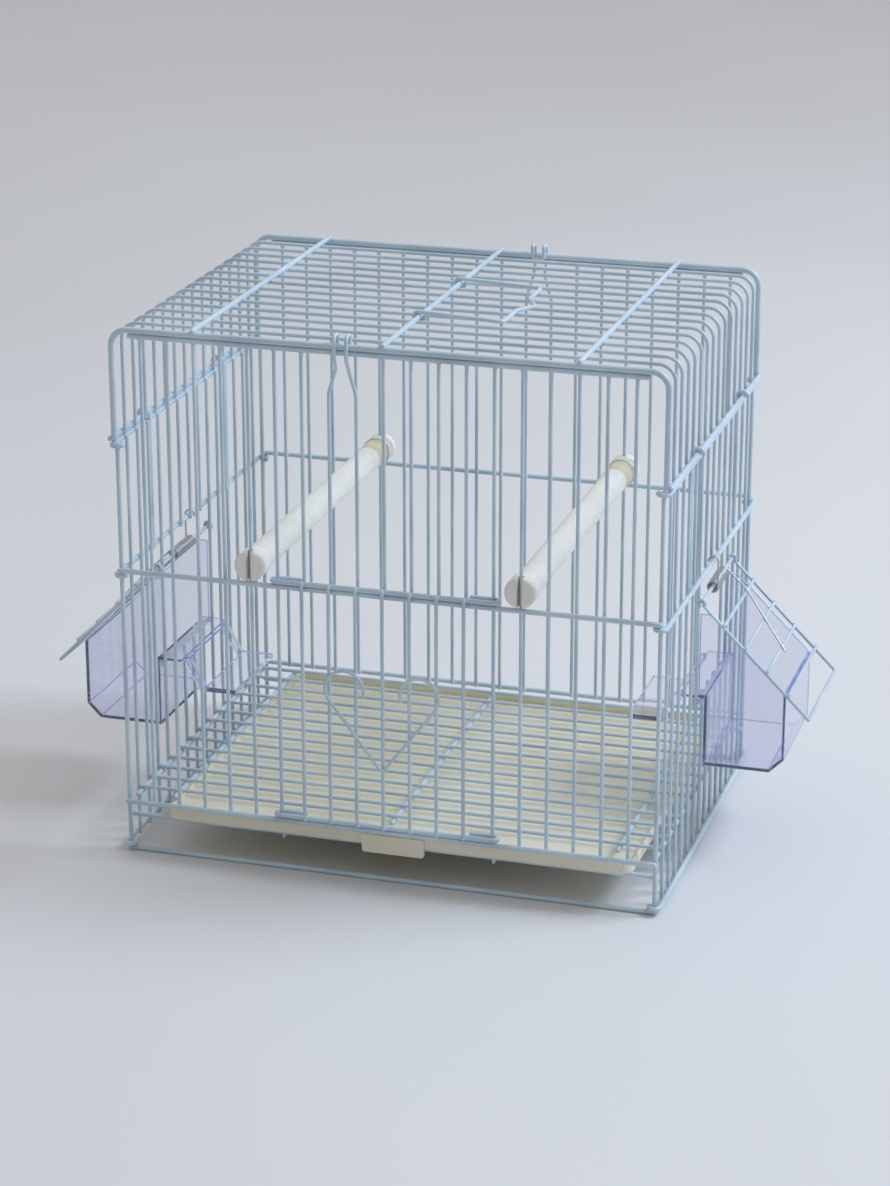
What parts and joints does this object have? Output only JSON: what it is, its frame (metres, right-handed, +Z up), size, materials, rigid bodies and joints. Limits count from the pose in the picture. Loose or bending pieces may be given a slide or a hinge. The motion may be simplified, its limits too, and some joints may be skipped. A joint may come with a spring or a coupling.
{
  "type": "bird travel cage",
  "caption": "Folding wire travel cage for a small bird, with a guillotine door, slide-out tray, outside feeders under sprung flaps, perches and a carrying handle.",
  "frame": {"origin": "on the ground, midway between the corner posts", "axes": "+Z up, +X to the right and -Y to the front (door side)"},
  "size_m": [0.372, 0.2059, 0.2663],
  "materials": {
    "coated_wire": "powder-coated, satin",
    "spring_steel": "drawn spring wire, zinc plated",
    "tray_plastic": "moulded, fine matte grain",
    "perch_plastic": "moulded, soft gloss",
    "clear_plastic": "clear injection-moulded polystyrene"
  },
  "bodies": {
    "cage": {"front_panel": "coated_wire", "back_panel": "coated_wire", "corner_post_front_left": "coated_wire", "corner_post_front_right": "coated_wire", "corner_post_back_left": "coated_wire", "corner_post_back_right": "coated_wire", "ground_rail_front": "coated_wire", "ground_rail_back": "coated_wire", "tray_rail_front": "coated_wire", "tray_rail_back": "coated_wire", "tray_runners": "coated_wire", "side_panel_left": "coated_wire", "side_panel_right": "coated_wire", "floor_grille": "coated_wire", "roof_top_grille": "coated_wire", "roof_leg_left": "coated_wire", "roof_leg_right": "coated_wire", "roof_latch_front": "coated_wire", "roof_latch_back": "coated_wire", "flap_hinge_rod_left": "coated_wire", "flap_hinge_rod_right": "coated_wire"},
    "door": {"sliding_door": "coated_wire", "door_heart": "coated_wire"},
    "tray_pan": {"tray": "tray_plastic"},
    "handle": {"carrying_handle": "coated_wire"},
    "left_flap": {"feeder_flap_left": "coated_wire", "flap_spring_left": "spring_steel"},
    "left_feeder": {"feeder_cup_left": "clear_plastic", "perch_ledge_left": "clear_plastic"},
    "left_perch": {"perch_shaft_left": "perch_plastic", "perch_cap_left_front": "perch_plastic", "perch_cap_left_back": "perch_plastic"},
    "right_flap": {"feeder_flap_right": "coated_wire", "flap_spring_right": "spring_steel"},
    "right_feeder": {"feeder_cup_right": "clear_plastic", "perch_ledge_right": "clear_plastic"},
    "right_perch": {"perch_shaft_right": "perch_plastic", "perch_cap_right_front": "perch_plastic", "perch_cap_right_back": "perch_plastic"}
  },
  "joints": [
    {"name": "door_slide", "type": "slide", "parent": "cage", "child": "door", "axis": [0, 0, 1], "range_m": [0, 0.1]},
    {"name": "tray_slide", "type": "slide", "parent": "cage", "child": "tray_pan", "axis": [0, -1, 0], "range_m": [0, 0.185]},
    {"name": "handle_swing", "type": "hinge", "parent": "cage", "child": "handle", "pos_m": [0, 0, 0.26195], "axis": [0, -1, 0], "range_deg": [0, 178]},
    {"name": "left_flap_swing", "type": "hinge", "parent": "cage", "child": "left_flap", "pos_m": [-0.1322, 0, 0.1275], "axis": [0, 1, 0], "range_deg": [0, 90], "stiffness_Nm_per_rad": 0.02, "deforming": ["flap_spring_left"]},
    {"name": "left_feeder_lift", "type": "slide", "parent": "cage", "child": "left_feeder", "axis": [-0.5, 0, 0.866], "range_m": [0, 0.015]},
    {"name": "left_perch_lift", "type": "slide", "parent": "cage", "child": "left_perch", "axis": [0, 0, 1], "range_m": [0, 0.09]},
    {"name": "right_flap_swing", "type": "hinge", "parent": "cage", "child": "right_flap", "pos_m": [0.1322, 0, 0.1275], "axis": [0, -1, 0], "range_deg": [0, 90], "stiffness_Nm_per_rad": 0.02, "deforming": ["flap_spring_right"]},
    {"name": "right_feeder_lift", "type": "slide", "parent": "cage", "child": "right_feeder", "axis": [0.5, 0, 0.866], "range_m": [0, 0.015]},
    {"name": "right_perch_lift", "type": "slide", "parent": "cage", "child": "right_perch", "axis": [0, 0, 1], "range_m": [0, 0.09]}
  ],
  "couplings": [
    {"joint": "left_feeder_lift", "follows": "left_flap_swing", "m_per_rad": 0.0095},
    {"joint": "right_feeder_lift", "follows": "right_flap_swing", "m_per_rad": 0.0095}
  ]
}
